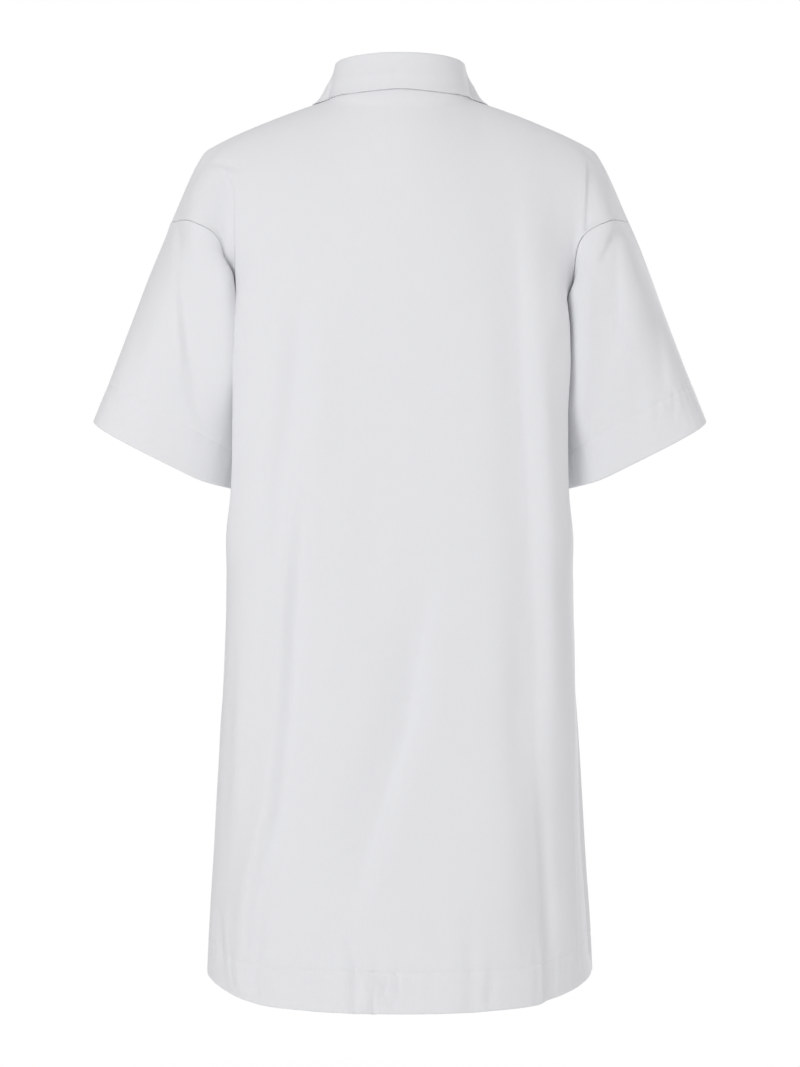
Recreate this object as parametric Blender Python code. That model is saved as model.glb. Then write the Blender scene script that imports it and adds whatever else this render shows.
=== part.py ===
"""Short-sleeved a-line shirt dress in heavy white cotton, filled out as if worn.

The frame is +Z up, front towards -Y, back towards +Y, so the wearer's left is +X. The origin is at the
middle of the neck, at the height where the shoulders carry the dress. Tables and sizes are in millimetres;
meshes are in metres.

Each panel is a grid of points. Its columns are lines of cloth from the top seam down, and share tells them
apart: 0 is the centre of the panel and 1 its armhole and side seam. Above the underarm a column runs from the
top seam (t = 0) to the underarm ring (t = 1). Below it the rows are rings round the body. Folds then push the
grid in or out.
"""

import math
from functools import lru_cache

import bmesh
import bpy
import numpy as np
from mathutils import Vector

MM = 0.001

# Cloth
CLOTH = 1.5
HEM_DEPTH = 38.0
HEM_LAYERS = 1.8
COLLAR_CLOTH = 1.8
SEAM_GAP = 0.3
LAYER_GAP = 0.5
WHITE = (0.80, 0.80, 0.79, 1.0)
CLOTH_ROUGHNESS = 0.9

# Body below the underarm: one row for each ring. Pinch is how far the side seam lies inside the half width.
UNDERARM = -250.0
HEM = -876.0
HEM_RISE = 11.0
RING_COLUMNS = ("height", "half_width", "pinch", "back", "front", "squareness")
RINGS = (
    (-250.0, 171.5, 29.0, 117.0, 126.0, 4.0),
    (-330.0, 171.0, 26.5, 120.0, 128.0, 4.3),
    (-385.0, 172.0, 22.0, 122.0, 130.0, 4.3),
    (-425.0, 174.0, 7.0, 124.0, 131.0, 4.2),
    (-470.0, 170.2, 0.0, 126.0, 132.0, 4.0),
    (-520.0, 171.4, 0.0, 128.5, 134.0, 3.75),
    (-560.0, 173.7, 0.0, 131.0, 136.0, 3.5),
    (-640.0, 179.3, 0.0, 137.0, 140.0, 3.05),
    (-700.0, 182.8, 0.0, 141.5, 143.0, 2.75),
    (-760.0, 186.2, 0.0, 146.0, 146.0, 2.5),
    (-820.0, 190.0, 0.0, 150.5, 148.7, 2.27),
    (-876.0, 192.6, 0.0, 155.0, 151.0, 2.08),
)

# Neck and shoulders
NECK_HALF = 71.0
NECK_BACK = 67.0
NECK_FRONT = 74.0
NECK_HEIGHT = 5.0
NECK_DROP = 62.0
NECK_SHARE = 0.30
SHOULDER_COLUMNS = ("out", "height")
SHOULDER = ((71.0, 5.0), (110.0, -9.7), (181.0, -39.4), (202.0, -58.0), (229.0, -117.0))

# How the columns leave the top seam: a row for each place along it, with the pull on the column there.
START_COLUMNS = ("share", "out", "away", "up")
STARTS = {
    "back": (
        (0.0, 0.0, 110.0, -190.0),
        (0.06, 0.0, 114.0, -186.0),
        (0.3, 5.0, 225.0, -30.0),
        (0.75, -10.0, 185.0, -10.0),
        (1.0, -60.0, 200.0, -60.0),
    ),
    "front": (
        (0.0, 0.0, -70.0, -150.0),
        (0.06, 0.0, -74.0, -148.0),
        (0.3, 5.0, -225.0, -60.0),
        (0.75, -10.0, -190.0, -20.0),
        (1.0, -60.0, -200.0, -60.0),
    ),
}
END_PULL = 1.15

# The armhole seam, from the end of the shoulder seam round the back or the front of the arm to the underarm.
ARMHOLE_COLUMNS = ("out", "away", "height")
ARMHOLE = (
    (229.0, 0.0, -117.0),
    (204.0, 58.0, -124.0),
    (175.0, 65.0, -144.0),
    (166.0, 50.0, -196.0),
    (144.0, 0.0, -250.0),
)
ARMHOLE_FROM = 0.68

# Sleeve
CUFF_CENTRE = (231.0, 0.0, -351.7)
CUFF_HALF_WIDTH = 82.0
CUFF_HALF_DEPTH = 66.0
CUFF_SQUARENESS = 3.2
# How far the inner side of a sleeve swings out from the body at the back: the wearer's left (1), right (-1).
SLEEVE_FULLNESS = {1: -108.0, -1: 0.0}
CUFF_RISE = 5.0
ARM_OUT = 26.5
ARM_FORWARD = 6.5
SLEEVE_HEM = 38.0

# Collar: the fold line where the leaf turns over the stand, and the leaf's free edge, given on the panels.
# A turn of 0 is the centre back and 1 the centre front; t below 0 is on the front panel; lift is the height
# above the cloth.
FOLD_HALF = 64.5
FOLD_BACK = 60.0
FOLD_FRONT = 67.0
FOLD_HEIGHT = 40.0
FOLD_DROP = 62.0
COLLAR_END_TURN = 0.968
LAP = 2.4
LAP_TURN = 1.055
LEAF_COLUMNS = ("turn", "share", "t", "lift")
LEAF_EDGE = (
    (0.0, 0.0, 0.014, 5.5),
    (0.26, 0.150, 0.032, 4.6),
    (0.42, 0.303, 0.045, 4.0),
    (0.54, 0.357, -0.005, 3.6),
    (0.70, 0.340, -0.170, 3.6),
    (0.968, 0.185, -0.400, 3.6),
)

# Front opening: a slot down the centre of the front panel, a strip over it and a strip under it.
SLOT_SHARE = 0.032
SLOT_STEPS = 8
PLACKET_SHARE = 0.054
PLACKET_STEPS = (0.006, 0.1, 0.2, 0.3, 0.4, 0.5, 0.6, 0.7, 0.8, 0.87)

# Buttons: how far down the placket, and the outline of half a section.
BUTTON_STEPS = (0.27, 0.56)
BUTTON_COLUMNS = ("radius", "height")
BUTTON = ((0.9, 1.7), (2.3, 1.7), (3.7, 1.7), (4.3, 2.4), (5.2, 2.4), (5.6, 1.9))
BUTTON_SIDES = 24
BUTTON_HOLE_SIDES = (2, 3, 8, 9, 14, 15, 20, 21)
BUTTON_WHITE = (0.82, 0.82, 0.80, 1.0)
BUTTON_ROUGHNESS = 0.35

# Folds of the body: a row for each. Depth is positive for a trough and negative for a ridge.
FOLD_COLUMNS = ("face", "x_top", "z_top", "x_low", "z_low", "bow", "half_width", "depth")
FOLDS = (
    ("back", -108.0, -90.0, -150.0, -1000.0, 4.0, 14.0, 13.0),
    ("back", 97.0, -130.0, 130.0, -560.0, 0.0, 16.0, 6.0),
    ("back", 104.0, -330.0, 158.0, -1000.0, -8.0, 15.0, -7.0),
    ("back", -30.0, -400.0, 60.0, -960.0, -8.0, 22.0, 8.0),
    ("front", 92.0, -190.0, 108.0, -1000.0, 6.0, 20.0, 6.0),
    ("front", -98.0, -200.0, -112.0, -1000.0, -6.0, 20.0, 7.0),
    ("front", 10.0, -520.0, -24.0, -1000.0, 0.0, 26.0, 4.0),
)

# Grid
YOKE_ROWS = 10
SKIRT_ROWS = 12
SLEEVE_ROWS = 7
LEAF_ROWS = 5
COLLAR_STEPS = 15


def smooth(x, low, high):
    """0 below low, 1 above high, and an even ramp between."""
    t = np.clip((x - low) / (high - low), 0.0, 1.0)
    return t * t * (3.0 - 2.0 * t)


def hermite(a, b, pull_a, pull_b, t):
    """The curve from a to b that leaves along pull_a and arrives along pull_b."""
    start = (2 * t**3 - 3 * t**2 + 1) * a + (t**3 - 2 * t**2 + t) * pull_a
    return start + (3 * t**2 - 2 * t**3) * b + (t**3 - t**2) * pull_b


def through(xs, ys, x):
    """A smooth curve through the points (xs, ys), read at x."""
    xs, ys = np.asarray(xs, float), np.asarray(ys, float)
    if xs[0] > xs[-1]:
        xs, ys = xs[::-1], ys[::-1]
    slopes = np.gradient(ys, xs, axis=0)
    i = int(np.clip(np.searchsorted(xs, x) - 1, 0, len(xs) - 2))
    step = xs[i + 1] - xs[i]
    t = np.clip((x - xs[i]) / step, 0.0, 1.0)
    return hermite(ys[i], ys[i + 1], slopes[i] * step, slopes[i + 1] * step, t)


def table(rows, names, key, x):
    """One table read at x, between its rows: a dict of its other columns."""
    keys = [row[names.index(key)] for row in rows]
    return {n: float(through(keys, [row[i] for row in rows], x)) for i, n in enumerate(names) if n != key}


def even(points, shares):
    """Points at these shares of a line's length."""
    points = np.asarray(points, float)
    run = np.concatenate([[0.0], np.cumsum(np.linalg.norm(np.diff(points, axis=0), axis=1))])
    return np.stack([np.interp(shares, run / run[-1], points[:, k]) for k in range(3)], axis=1)


def outward(grid, closed=False):
    """Outward normals of a grid: across its rows, then across its columns."""
    if closed:
        along = np.roll(grid, -1, axis=1) - np.roll(grid, 1, axis=1)
    else:
        along = np.gradient(grid, axis=1)
    n = np.cross(np.gradient(grid, axis=0), along)
    return n / np.maximum(np.linalg.norm(n, axis=-1, keepdims=True), 1e-9)


def ring(height, face, shares):
    """Points of the half ring at this height, on x >= 0."""
    size = table(RINGS, RING_COLUMNS, "height", height)
    angle = np.linspace(0.0, math.pi / 2, 181)
    power = 2.0 / size["squareness"]
    x = size["half_width"] * np.sin(angle) ** power
    x = x - size["pinch"] * smooth(angle, math.radians(60), math.radians(88))
    y = size[face] * np.clip(np.cos(angle), 0.0, 1.0) ** power
    y[-1] = 0.0
    y = y if face == "back" else -y
    return even(np.stack([x, y, np.full_like(x, height)], axis=1), shares)


def neck_ring(turn):
    """The neck seam. Turn is 0 at the centre back and 1 or -1 at the centre front, by way of +x or -x."""
    angle = turn * math.pi
    forward = max(-math.cos(angle), 0.0)
    y = -NECK_FRONT * forward if forward else NECK_BACK * math.cos(angle)
    return np.array([NECK_HALF * math.sin(angle), y, NECK_HEIGHT - NECK_DROP * forward**1.6])


def shoulder(share):
    """The shoulder seam, from the neck (share 0) to the armhole (share 1)."""
    knots = np.linspace(0.0, 1.0, len(SHOULDER))
    line = [through(knots, SHOULDER, k) for k in np.linspace(0.0, 1.0, 61)]
    return even([(out, 0.0, height) for out, height in line], [share])[0]


@lru_cache(maxsize=None)
def armhole(face, t):
    """The armhole seam, from the shoulder seam (t = 0) to the underarm (t = 1)."""
    knots = np.linspace(0.0, 1.0, len(ARMHOLE))
    out, away, height = through(knots, ARMHOLE, t)
    return np.array([out, away if face == "back" else -away, height])


@lru_cache(maxsize=None)
def column_of(face, share):
    """What a column of the yoke is drawn from: its two ends and its pull at each."""
    if share < NECK_SHARE:
        turn = share / NECK_SHARE / 2
        top = neck_ring(turn if face == "back" else 1.0 - turn)
    else:
        top = shoulder((share - NECK_SHARE) / (1.0 - NECK_SHARE))
    low, below = ring(UNDERARM, face, [share])[0], ring(UNDERARM - 1.0, face, [share])[0]
    pull = table(STARTS[face], START_COLUMNS, "share", share)
    leave = np.array([pull["out"], pull["away"], pull["up"]])
    return top, low, leave, (below - low) * (top[2] - low[2]) * END_PULL


def yoke(face, share, t):
    """A point of the half panel above the underarm, drawn to the armhole seam towards its edge."""
    at_armhole = smooth(share, ARMHOLE_FROM, 1.0)
    edge = armhole(face, t) - hermite(*column_of(face, 1.0), t)
    return hermite(*column_of(face, share), t) + at_armhole * edge


def on_panel(face, share, t, lift):
    """A point above the panel by lift. A share below 0 is on the -x side."""
    step = 0.004
    spots = [(s, t + j * step) for j in (0, 1) for s in (share - step, share + step)]
    here = np.array([yoke(face, abs(s), u) * (math.copysign(1.0, s), 1.0, 1.0) for s, u in spots])
    here = here.reshape(2, 2, 3)
    away = outward(here)[0][0] * (1.0 if face == "front" else -1.0)
    return here[0].mean(axis=0) + away * lift


def resting(points, clear):
    """The points, with any that are nearer to a panel than clear moved out from it."""
    steps = np.linspace(0.0, 0.6, 49)
    spots = [(face, s, t) for face in ("back", "front") for s in np.linspace(-0.6, 0.6, 73) for t in steps]
    on = np.array([on_panel(face, s, t, 0.0) for face, s, t in spots])
    away = np.array([on_panel(face, s, t, 1.0) for face, s, t in spots]) - on
    moved = points.reshape(-1, 3).copy()
    for i, point in enumerate(moved):
        near = int(np.argmin(np.linalg.norm(on - point, axis=1)))
        moved[i] = point + away[near] * max(clear - float(np.dot(point - on[near], away[near])), 0.0)
    return moved.reshape(points.shape)


def column_shares(face):
    """The columns of a half panel: the slot and its strips, then closer together towards the armhole."""
    slot = (0.0, SLOT_SHARE, PLACKET_SHARE) if face == "front" else (0.0, 0.07)
    body = np.linspace(slot[-1], 0.66, 9)[1:]
    turn = np.linspace(0.66, 1.0 - SEAM_GAP / 600.0, 8)[1:]
    return np.concatenate([slot, body, turn])


def yoke_steps():
    return np.linspace(0.0, 1.0, YOKE_ROWS + 1)


def half_panel(face):
    """Grid of the half panel on x >= 0, rows from the top seam to the hem, and how thick each row is."""
    shares = column_shares(face)
    rows = [np.array([yoke(face, s, t) for s in shares]) for t in yoke_steps()[:-1]]
    heights = np.linspace(UNDERARM, HEM + HEM_DEPTH + 1.0, SKIRT_ROWS)
    heights = np.concatenate([heights, [HEM + HEM_DEPTH, HEM]])
    rows += [ring(height, face, shares) for height in heights]
    raised = np.outer(smooth(shares, 0.45, 0.95), (0.0, 0.0, HEM_RISE))
    for row, height in zip(rows, [0.0] * YOKE_ROWS + list(heights)):
        row += raised * smooth(-height, -HEM - 150.0, -HEM)
    thickness = np.full(len(rows), CLOTH)
    thickness[-2:] *= HEM_LAYERS
    return np.array(rows), thickness


def mirrored(half, face):
    """The whole panel. Its columns run towards +x on the front and towards -x on the back."""
    whole = np.concatenate([half[:, :0:-1] * (-1.0, 1.0, 1.0), half], axis=1)
    return whole if face == "front" else whole[:, ::-1]


def fold_offset(grid, face):
    """How far the folds move each point of the grid out."""
    x, z = grid[..., 0], grid[..., 2]
    moved = np.zeros_like(x)
    for row in FOLDS:
        f = dict(zip(FOLD_COLUMNS, row))
        if f["face"] != face:
            continue
        t = (z - f["z_top"]) / (f["z_low"] - f["z_top"])
        centre = f["x_top"] + (f["x_low"] - f["x_top"]) * t + f["bow"] * np.sin(np.clip(t, 0, 1) * math.pi)
        fade = smooth(t, 0.0, 0.3) * (1.0 - smooth(t, 0.75, 1.0))
        moved -= f["depth"] * fade * np.exp(-(((x - centre) / f["half_width"]) ** 2))
    return moved


def sleeve(side):
    """Grid of a sleeve: rows from the armhole to the cuff, columns round it from the top of the shoulder."""
    steps = yoke_steps()
    top = np.array([armhole("back", t) for t in steps] + [armhole("front", t) for t in steps[-2:0:-1]])
    angle = np.linspace(0.0, 2 * math.pi, len(top), endpoint=False)[:, None]
    out, forward = math.radians(ARM_OUT), math.radians(ARM_FORWARD)
    across = np.array([math.cos(out), 0.0, math.sin(out)]) * CUFF_HALF_WIDTH
    depth = np.array([0.0, math.cos(forward), -math.sin(forward)]) * CUFF_HALF_DEPTH
    power = 2.0 / CUFF_SQUARENESS
    round_x = np.sign(np.cos(angle)) * np.abs(np.cos(angle)) ** power
    round_y = np.sign(np.sin(angle)) * np.abs(np.sin(angle)) ** power
    cuff = np.array(CUFF_CENTRE) + round_x * across + round_y * depth
    cuff[:, 2:] += CUFF_RISE * smooth(-np.cos(angle), 0.2, 0.9)
    axis = np.array([math.sin(out), -math.sin(forward), -math.cos(out)])
    length = np.linalg.norm(cuff - top, axis=1, keepdims=True)
    under = np.sin(angle / 2) ** 1.2
    from_body = 70.0 + (SLEEVE_FULLNESS[int(side)] - 70.0) * smooth(np.sin(angle), 0.0, 0.7)
    spread = np.concatenate([from_body, np.sin(angle) * 150.0, np.full_like(angle, 25.0)], axis=1)
    leave = 0.5 * (cuff - top) + 0.5 * axis * length + under * spread
    arrive = (0.95 - 0.35 * under) * (cuff - top) + 0.4 * under * axis * length
    hem = 1.0 - SLEEVE_HEM / float(np.mean(length))
    steps_down = np.concatenate([np.linspace(SEAM_GAP / 400.0, hem - 0.006, SLEEVE_ROWS), [hem, 1.0]])
    thickness = np.full(len(steps_down), CLOTH)
    thickness[-2:] *= HEM_LAYERS
    grid = np.array([hermite(top, cuff, leave, arrive, t) for t in steps_down])
    return (grid if side > 0 else grid[:, ::-1]) * (side, 1.0, 1.0), thickness


def radial(point):
    flat = np.array([point[0], point[1], 0.0])
    return flat / np.linalg.norm(flat)


def lapped(point, turn):
    """The collar's -x end lies over its +x end at the centre front."""
    return point + radial(point) * LAP * smooth(-turn, 0.84, 0.96)


def fold_ring(turn):
    """The line where the leaf folds over the stand."""
    angle = turn * math.pi
    forward = max(-math.cos(angle), 0.0)
    y = -FOLD_FRONT * forward if forward else FOLD_BACK * math.cos(angle)
    return lapped(np.array([FOLD_HALF * math.sin(angle), y, FOLD_HEIGHT - FOLD_DROP * forward**1.5]), turn)


def leaf_edge(turn):
    """The leaf's free edge, a lift above the panel below it."""
    at = table(LEAF_EDGE, LEAF_COLUMNS, "turn", abs(turn))
    face = "back" if at["t"] >= 0 else "front"
    return on_panel(face, math.copysign(at["share"], turn), abs(at["t"]), at["lift"])


def collar_stand():
    """Grid of the stand, rows from the neck seam up, its ends lapped at the centre front."""
    rows = [[], [], []]
    for turn in np.linspace(-LAP_TURN, LAP_TURN, 2 * COLLAR_STEPS + 1):
        fold = fold_ring(turn)
        low = lapped(neck_ring(turn), turn)
        top = fold - radial(fold) * 3.0 - (0, 0, 2.8 + 9.0 * smooth(abs(turn), 0.985, LAP_TURN))
        low = low + (top - low) / np.linalg.norm(top - low) * 0.6
        for i, row in enumerate(rows):
            row.append(low + (top - low) * i / 2)
    return np.array(rows)


def collar_leaf():
    """Grid of the leaf, rows from the top of the stand over the fold and down to the free edge."""
    rows = []
    for turn in np.linspace(COLLAR_END_TURN, -COLLAR_END_TURN, 2 * COLLAR_STEPS + 1):
        fold, edge = fold_ring(turn), leaf_edge(turn)
        out, up = radial(fold), np.array([0.0, 0.0, 1.0])
        over = fold + out * 0.9 - up * 1.8
        length = np.linalg.norm(edge - over)
        flare = 0.15 + 0.6 * smooth(abs(turn), 0.75, 0.95)
        leave, arrive = (out * flare - up) * length, (edge - over) * 1.1 + out * 6.0
        column = [fold - out * 3.0 - up * 0.6, fold - out * 1.2 + up * 0.4]
        for t in np.linspace(0.0, 1.0, LEAF_ROWS):
            column.append(hermite(over, edge, leave, arrive, t))
        rows.append(column)
    grid = np.array(rows).swapaxes(0, 1)
    grid[3:] = resting(grid[3:], COLLAR_CLOTH + LAYER_GAP + 1.0)
    return grid


def placket(lift):
    """Grid of a strip on the centre of the front panel."""
    shares = (-PLACKET_SHARE, -SLOT_SHARE, 0.0, SLOT_SHARE, PLACKET_SHARE)
    return np.array([[on_panel("front", s, t, lift) for s in shares] for t in PLACKET_STEPS])


def finish(obj, colour, roughness):
    """The object's own material."""
    material = bpy.data.materials.new(obj.name)
    material.use_nodes = True
    shader = material.node_tree.nodes["Principled BSDF"]
    shader.inputs["Base Color"].default_value = colour
    shader.inputs["Roughness"].default_value = roughness
    obj.data.materials.append(material)


def shell(name, outer, inner, closed=False, open_cells=(), capped=False):
    """A solid between two grids. Open cells are left out, and a capped one is filled across its first row."""
    rows, columns = outer.shape[:2]
    front = []
    for r in range(rows - 1):
        for c in range(columns if closed else columns - 1):
            d = (c + 1) % columns
            here, below = r * columns, (r + 1) * columns
            if (r, c) not in open_cells:
                front.append((here + c, below + c, below + d, here + d))
    if capped:
        front.append(tuple(range(columns)))
    edges = {e for face in front for e in zip(face, face[1:] + face[:1])}
    behind = rows * columns
    back = [tuple(i + behind for i in face[::-1]) for face in front]
    rim = [(b, a, a + behind, b + behind) for a, b in sorted(edges) if (b, a) not in edges]
    points = np.concatenate([outer.reshape(-1, 3), inner.reshape(-1, 3)]) * MM
    mesh = bpy.data.meshes.new(name)
    mesh.from_pydata(points.tolist(), [], front + back + rim)
    work = bmesh.new()
    work.from_mesh(mesh)
    bmesh.ops.delete(work, geom=[v for v in work.verts if not v.link_faces], context="VERTS")
    work.to_mesh(mesh)
    work.free()
    mesh.shade_smooth()
    mesh.set_sharp_from_angle(angle=math.radians(50))
    obj = bpy.data.objects.new(name, mesh)
    bpy.context.scene.collection.objects.link(obj)
    return obj


def cloth(name, grid, thickness, closed=False, open_cells=(), seam_side=0.0, bevel=0.0):
    """A wall of cloth behind a grid. Seam side keeps it clear of the seam plane: 1 on the +y side, -1 on the -y
    side. Bevel draws the inner edge of its first row back."""
    wall = np.broadcast_to(thickness, grid.shape[0])[:, None, None]
    outer, inner = grid.copy(), grid - outward(grid, closed) * wall
    inner[0] += bevel * (inner[1] - inner[0])
    if seam_side:
        for layer in (outer, inner):
            layer[..., 1] = seam_side * np.maximum(seam_side * layer[..., 1], SEAM_GAP / 2)
    finish(shell(name, outer, inner, closed, open_cells), WHITE, CLOTH_ROUGHNESS)


def panel(face):
    """The back or the front panel. The front one has a slot down from the middle of its neck edge."""
    half, thickness = half_panel(face)
    grid = mirrored(half, face)
    grid = grid + outward(grid) * fold_offset(grid, face)[..., None]
    middle = grid.shape[1] // 2
    slot = {(r, c) for r in range(SLOT_STEPS) for c in (middle - 1, middle)} if face == "front" else ()
    cloth(face + "_panel", grid, thickness, open_cells=slot, seam_side=1.0 if face == "back" else -1.0)


def button(name, centre, normal):
    """A four-hole button, its back face at centre."""
    turn = Vector((0, 0, 1)).rotation_difference(Vector(normal)).to_matrix()
    angle = np.linspace(0.0, 2 * math.pi, BUTTON_SIDES, endpoint=False)
    layers = []
    for flat in (1.0, 0.0):
        ring_of = [[(r * math.cos(a), r * math.sin(a), h * flat) for a in angle] for r, h in BUTTON]
        rows = [[turn @ Vector(point) for point in row] for row in ring_of]
        layers.append(np.array(rows) + centre)
    holes = {(0, c) for c in BUTTON_HOLE_SIDES}
    finish(shell(name, *layers, closed=True, open_cells=holes, capped=True), BUTTON_WHITE, BUTTON_ROUGHNESS)


def buttons():
    over = CLOTH + LAYER_GAP
    for i, t in enumerate(BUTTON_STEPS):
        low, high = on_panel("front", 0.0, t, over), on_panel("front", 0.0, t, over + LAYER_GAP)
        button(f"button_{i + 2}", high, (high - low) / np.linalg.norm(high - low))
    stand = collar_stand()
    at = int(np.argmin(np.abs(np.linspace(-LAP_TURN, LAP_TURN, stand.shape[1]) + 1.0)))
    normal = outward(stand)[1][at] * (0, 1, 1)
    button("button_1", stand[1][at] * (0, 1, 1) + normal * LAYER_GAP, normal)


def main():
    for obj in list(bpy.data.objects):
        bpy.data.objects.remove(obj)
    panel("back")
    panel("front")
    for name, side in (("sleeve_left", 1.0), ("sleeve_right", -1.0)):
        cloth(name, *sleeve(side), closed=True)
    cloth("collar_stand", collar_stand(), COLLAR_CLOTH, bevel=0.15)
    cloth("collar_leaf", collar_leaf(), COLLAR_CLOTH)
    cloth("placket_over", placket(CLOTH + LAYER_GAP), CLOTH)
    cloth("placket_under", placket(-CLOTH - LAYER_GAP), CLOTH)
    buttons()


main()
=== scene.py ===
"""Looks of the short-sleeved white cotton a-line dress: fine cloth, folds, seams, stitches and buttons.

Sizes in the tables are in millimetres, in the part's frame: +Z up, back towards +Y, the wearer's left is +X.
"""

import math

import bpy
import numpy as np
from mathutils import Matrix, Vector


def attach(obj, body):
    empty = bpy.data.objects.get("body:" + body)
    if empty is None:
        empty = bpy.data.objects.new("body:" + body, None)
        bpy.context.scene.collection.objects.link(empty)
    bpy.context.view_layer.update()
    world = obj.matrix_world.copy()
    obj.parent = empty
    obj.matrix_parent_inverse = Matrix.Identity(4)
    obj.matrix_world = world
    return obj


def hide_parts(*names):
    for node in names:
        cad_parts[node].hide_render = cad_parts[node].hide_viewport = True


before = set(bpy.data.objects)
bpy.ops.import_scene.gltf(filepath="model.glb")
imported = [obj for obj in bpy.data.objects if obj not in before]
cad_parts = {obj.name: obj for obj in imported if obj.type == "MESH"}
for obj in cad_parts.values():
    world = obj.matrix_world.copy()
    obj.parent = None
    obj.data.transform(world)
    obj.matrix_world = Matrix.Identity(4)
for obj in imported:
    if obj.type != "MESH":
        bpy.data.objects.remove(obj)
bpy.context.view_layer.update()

MM = 0.001
rng = np.random.default_rng(7)

# ---------------------------------------------------------------- sizes shared with the solids

CLOTH = 1.5
HEM_DEPTH = 38.0
HEM_LAYERS = 1.8
COLLAR_CLOTH = 1.8
SEAM_GAP = 0.3
LAYER_GAP = 0.5

UNDERARM = -250.0
HEM = -876.0
HEM_RISE = 11.0
RING_COLUMNS = ("height", "half_width", "pinch", "back", "front", "squareness")
RINGS = (
    (-250.0, 171.5, 29.0, 117.0, 126.0, 4.0),
    (-330.0, 171.0, 26.5, 120.0, 128.0, 4.3),
    (-385.0, 172.0, 22.0, 122.0, 130.0, 4.3),
    (-425.0, 174.0, 7.0, 124.0, 131.0, 4.2),
    (-470.0, 170.2, 0.0, 126.0, 132.0, 4.0),
    (-520.0, 171.4, 0.0, 128.5, 134.0, 3.75),
    (-560.0, 173.7, 0.0, 131.0, 136.0, 3.5),
    (-640.0, 179.3, 0.0, 137.0, 140.0, 3.05),
    (-700.0, 182.8, 0.0, 141.5, 143.0, 2.75),
    (-760.0, 186.2, 0.0, 146.0, 146.0, 2.5),
    (-820.0, 190.0, 0.0, 150.5, 148.7, 2.27),
    (-876.0, 192.6, 0.0, 155.0, 151.0, 2.08),
)

NECK_HALF = 71.0
NECK_BACK = 67.0
NECK_FRONT = 74.0
NECK_HEIGHT = 5.0
NECK_DROP = 62.0
NECK_SHARE = 0.30
SHOULDER = ((71.0, 5.0), (110.0, -9.7), (181.0, -39.4), (202.0, -58.0), (229.0, -117.0))
START_COLUMNS = ("share", "out", "away", "up")
STARTS = {
    "back": (
        (0.0, 0.0, 110.0, -190.0),
        (0.06, 0.0, 114.0, -186.0),
        (0.3, 5.0, 225.0, -30.0),
        (0.75, -10.0, 185.0, -10.0),
        (1.0, -60.0, 200.0, -60.0),
    ),
    "front": (
        (0.0, 0.0, -70.0, -150.0),
        (0.06, 0.0, -74.0, -148.0),
        (0.3, 5.0, -225.0, -60.0),
        (0.75, -10.0, -190.0, -20.0),
        (1.0, -60.0, -200.0, -60.0),
    ),
}
END_PULL = 1.15
ARMHOLE = (
    (229.0, 0.0, -117.0),
    (204.0, 58.0, -124.0),
    (175.0, 65.0, -144.0),
    (166.0, 50.0, -196.0),
    (144.0, 0.0, -250.0),
)
ARMHOLE_FROM = 0.68

CUFF_CENTRE = (231.0, 0.0, -351.7)
CUFF_HALF_WIDTH = 82.0
CUFF_HALF_DEPTH = 66.0
CUFF_SQUARENESS = 3.2
SLEEVE_FULLNESS = {1: -108.0, -1: 0.0}
CUFF_RISE = 5.0
ARM_OUT = 26.5
ARM_FORWARD = 6.5
SLEEVE_HEM = 38.0

FOLD_HALF = 64.5
FOLD_BACK = 60.0
FOLD_FRONT = 67.0
FOLD_HEIGHT = 40.0
FOLD_DROP = 62.0
COLLAR_END_TURN = 0.968
LAP = 2.4
LAP_TURN = 1.055
LEAF_COLUMNS = ("turn", "share", "t", "lift")
LEAF_EDGE = (
    (0.0, 0.0, 0.014, 4.0),
    (0.26, 0.155, 0.031, 3.4),
    (0.42, 0.303, 0.043, 3.4),
    (0.54, 0.360, -0.005, 3.6),
    (0.70, 0.341, -0.170, 3.6),
    (0.968, 0.185, -0.400, 3.6),
)

SLOT_SHARE = 0.032
SLOT_T = 0.8
PLACKET_SHARE = 0.054
PLACKET_FROM_T = 0.006
PLACKET_TO_T = 0.87
BUTTON_STEPS = (0.27, 0.56)

FOLD_COLUMNS = ("face", "x_top", "z_top", "x_low", "z_low", "bow", "half_width", "depth")
FOLDS = (
    ("front", 92.0, -190.0, 108.0, -1000.0, 6.0, 20.0, 6.0),
    ("front", -98.0, -200.0, -112.0, -1000.0, -6.0, 20.0, 7.0),
    ("front", 10.0, -520.0, -24.0, -1000.0, 0.0, 26.0, 4.0),
)

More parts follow.
